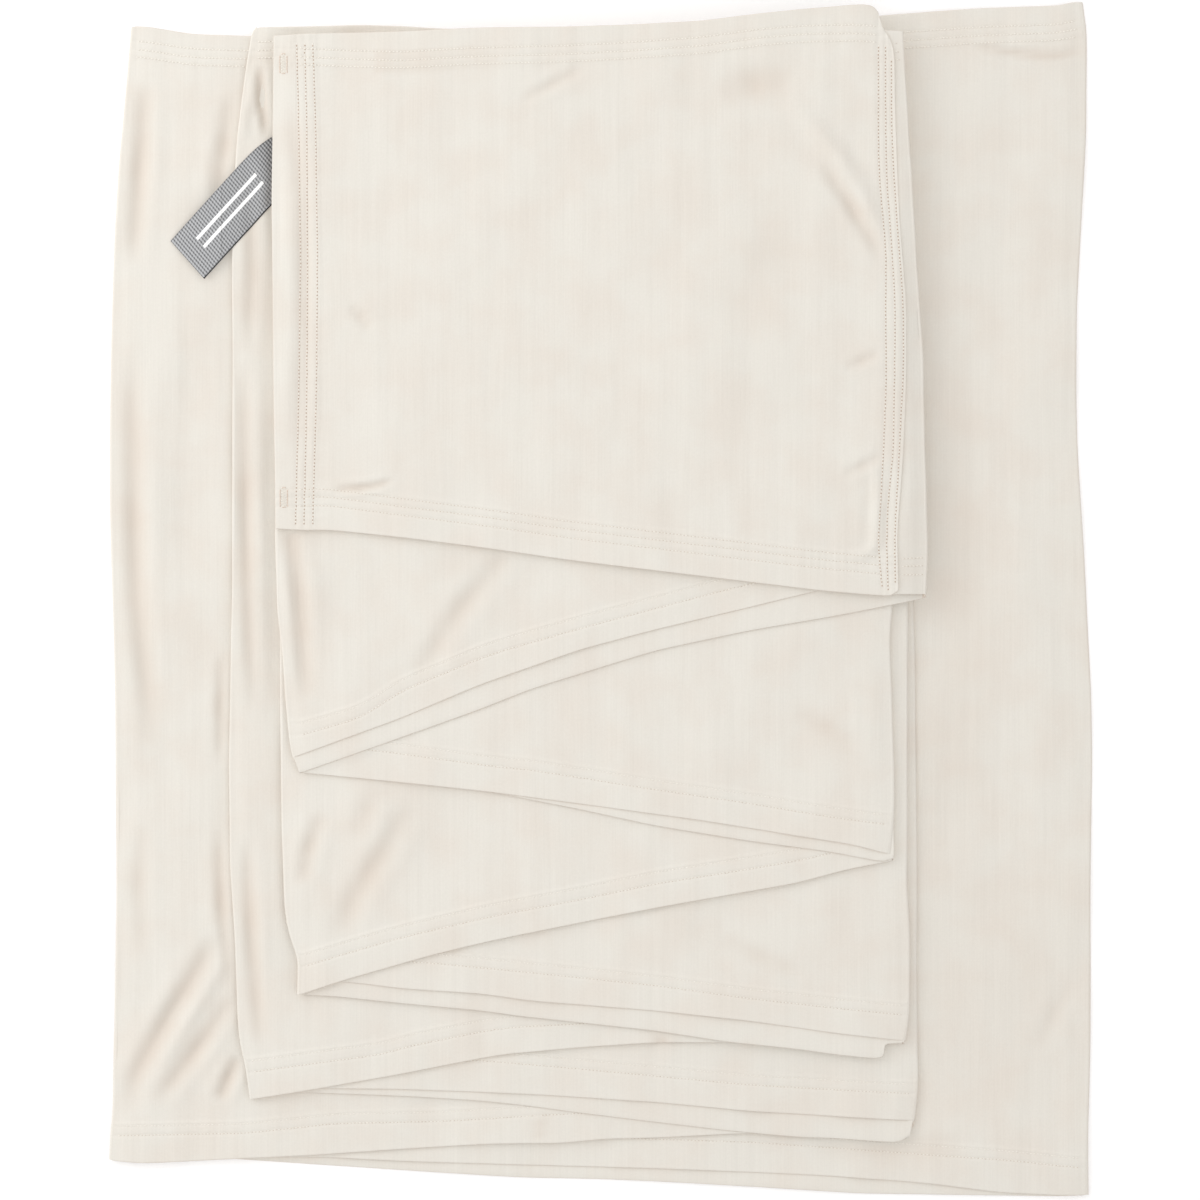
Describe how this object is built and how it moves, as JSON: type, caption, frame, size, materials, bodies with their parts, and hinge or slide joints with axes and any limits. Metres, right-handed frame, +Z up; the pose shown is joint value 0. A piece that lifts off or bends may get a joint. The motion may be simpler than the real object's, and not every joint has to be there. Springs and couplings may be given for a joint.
{
  "type": "baby wrap sling",
  "caption": "Long stretchy knit baby wrap folded into a flat bundle, with a stitched pouch panel and a ribbon label.",
  "frame": {"origin": "centre of the underside of the folded bundle's box, on the surface it lies on", "axes": "+Z up out of the stack of leaves, +Y across the cloth's width towards the even straight edge, +X along the leaves towards the pouch's closed end"},
  "size_m": [0.4439, 0.5381, 0.0175],
  "materials": {
    "knit_fabric": "matte knit jersey",
    "thread": "matte polyester thread",
    "label_ribbon": "ribbed grosgrain"
  },
  "bodies": {
    "leaf_9": {"leaf_9_upper_ply": "knit_fabric", "leaf_9_lower_ply": "knit_fabric", "leaf_9_hem_stitching": "thread"},
    "leaf_8": {"leaf_8_upper_ply": "knit_fabric", "leaf_8_lower_ply": "knit_fabric", "leaf_8_hem_stitching": "thread"},
    "leaf_7": {"leaf_7_upper_ply": "knit_fabric", "leaf_7_lower_ply": "knit_fabric", "leaf_7_hem_stitching": "thread"},
    "leaf_6": {"leaf_6_upper_ply": "knit_fabric", "leaf_6_lower_ply": "knit_fabric", "leaf_6_hem_stitching": "thread", "label_sewn_end": "label_ribbon", "label_bend": "label_ribbon", "label_stitching": "thread"},
    "leaf_5": {"leaf_5_upper_ply": "knit_fabric", "leaf_5_lower_ply": "knit_fabric", "leaf_5_hem_stitching": "thread"},
    "leaf_4": {"leaf_4_upper_ply": "knit_fabric", "leaf_4_lower_ply": "knit_fabric", "leaf_4_hem_stitching": "thread"},
    "leaf_3": {"leaf_3_upper_ply": "knit_fabric", "leaf_3_lower_ply": "knit_fabric", "leaf_3_hem_stitching": "thread"},
    "leaf_2": {"leaf_2_upper_ply": "knit_fabric", "leaf_2_lower_ply": "knit_fabric", "leaf_2_hem_stitching": "thread"},
    "leaf_1": {"leaf_1_upper_ply": "knit_fabric", "leaf_1_lower_ply": "knit_fabric", "leaf_1_hem_stitching": "thread", "pouch_panel": "knit_fabric", "pouch_mouth_stitching": "thread", "pouch_end_stitching": "thread", "bartack_upper": "thread", "bartack_lower": "thread"},
    "label": {"label_free_end": "label_ribbon"}
  },
  "joints": [
    {"name": "fold_1_2", "type": "hinge", "parent": "leaf_2", "child": "leaf_1", "pos_m": [0.14513, 0.1278, 0.01485], "axis": [-0.0324, 0.9995, 0], "range_deg": [0, 175]},
    {"name": "fold_2_3", "type": "hinge", "parent": "leaf_3", "child": "leaf_2", "pos_m": [-0.14738, 0.0891, 0.01305], "axis": [0.0122, -0.9999, 0], "range_deg": [0, 170]},
    {"name": "fold_3_4", "type": "hinge", "parent": "leaf_4", "child": "leaf_3", "pos_m": [0.13399, 0.0693, 0.01125], "axis": [-0.0006, 1, 0], "range_deg": [0, 35]},
    {"name": "fold_4_5", "type": "hinge", "parent": "leaf_5", "child": "leaf_4", "pos_m": [-0.14591, 0.03915, 0.00945], "axis": [0.0099, -1, 0], "range_deg": [0, 90]},
    {"name": "fold_5_6", "type": "hinge", "parent": "leaf_6", "child": "leaf_5", "pos_m": [0.14053, 0.02857, 0.0073], "axis": [0, 1, 0], "range_deg": [0, 72]},
    {"name": "fold_6_7", "type": "hinge", "parent": "leaf_7", "child": "leaf_6", "pos_m": [-0.16756, 0.01642, 0.00515], "axis": [-0.0025, -1, 0], "range_deg": [0, 90], "deforming": ["label_bend"]},
    {"name": "fold_7_8", "type": "hinge", "parent": "leaf_8", "child": "leaf_7", "pos_m": [0.14445, 0.0063, 0.00335], "axis": [-0.0018, 1, 0], "range_deg": [0, 75]},
    {"name": "fold_8_9", "type": "hinge", "parent": "leaf_9", "child": "leaf_8", "pos_m": [-0.2219, 0.00248, 0.00155], "axis": [-0.0018, -1, 0], "range_deg": [0, 75]},
    {"name": "label_flap", "type": "hinge", "parent": "leaf_7", "child": "label", "pos_m": [-0.17055, 0.17055, 0.0069], "axis": [0, 1, 0], "range_deg": [0, 55]}
  ]
}
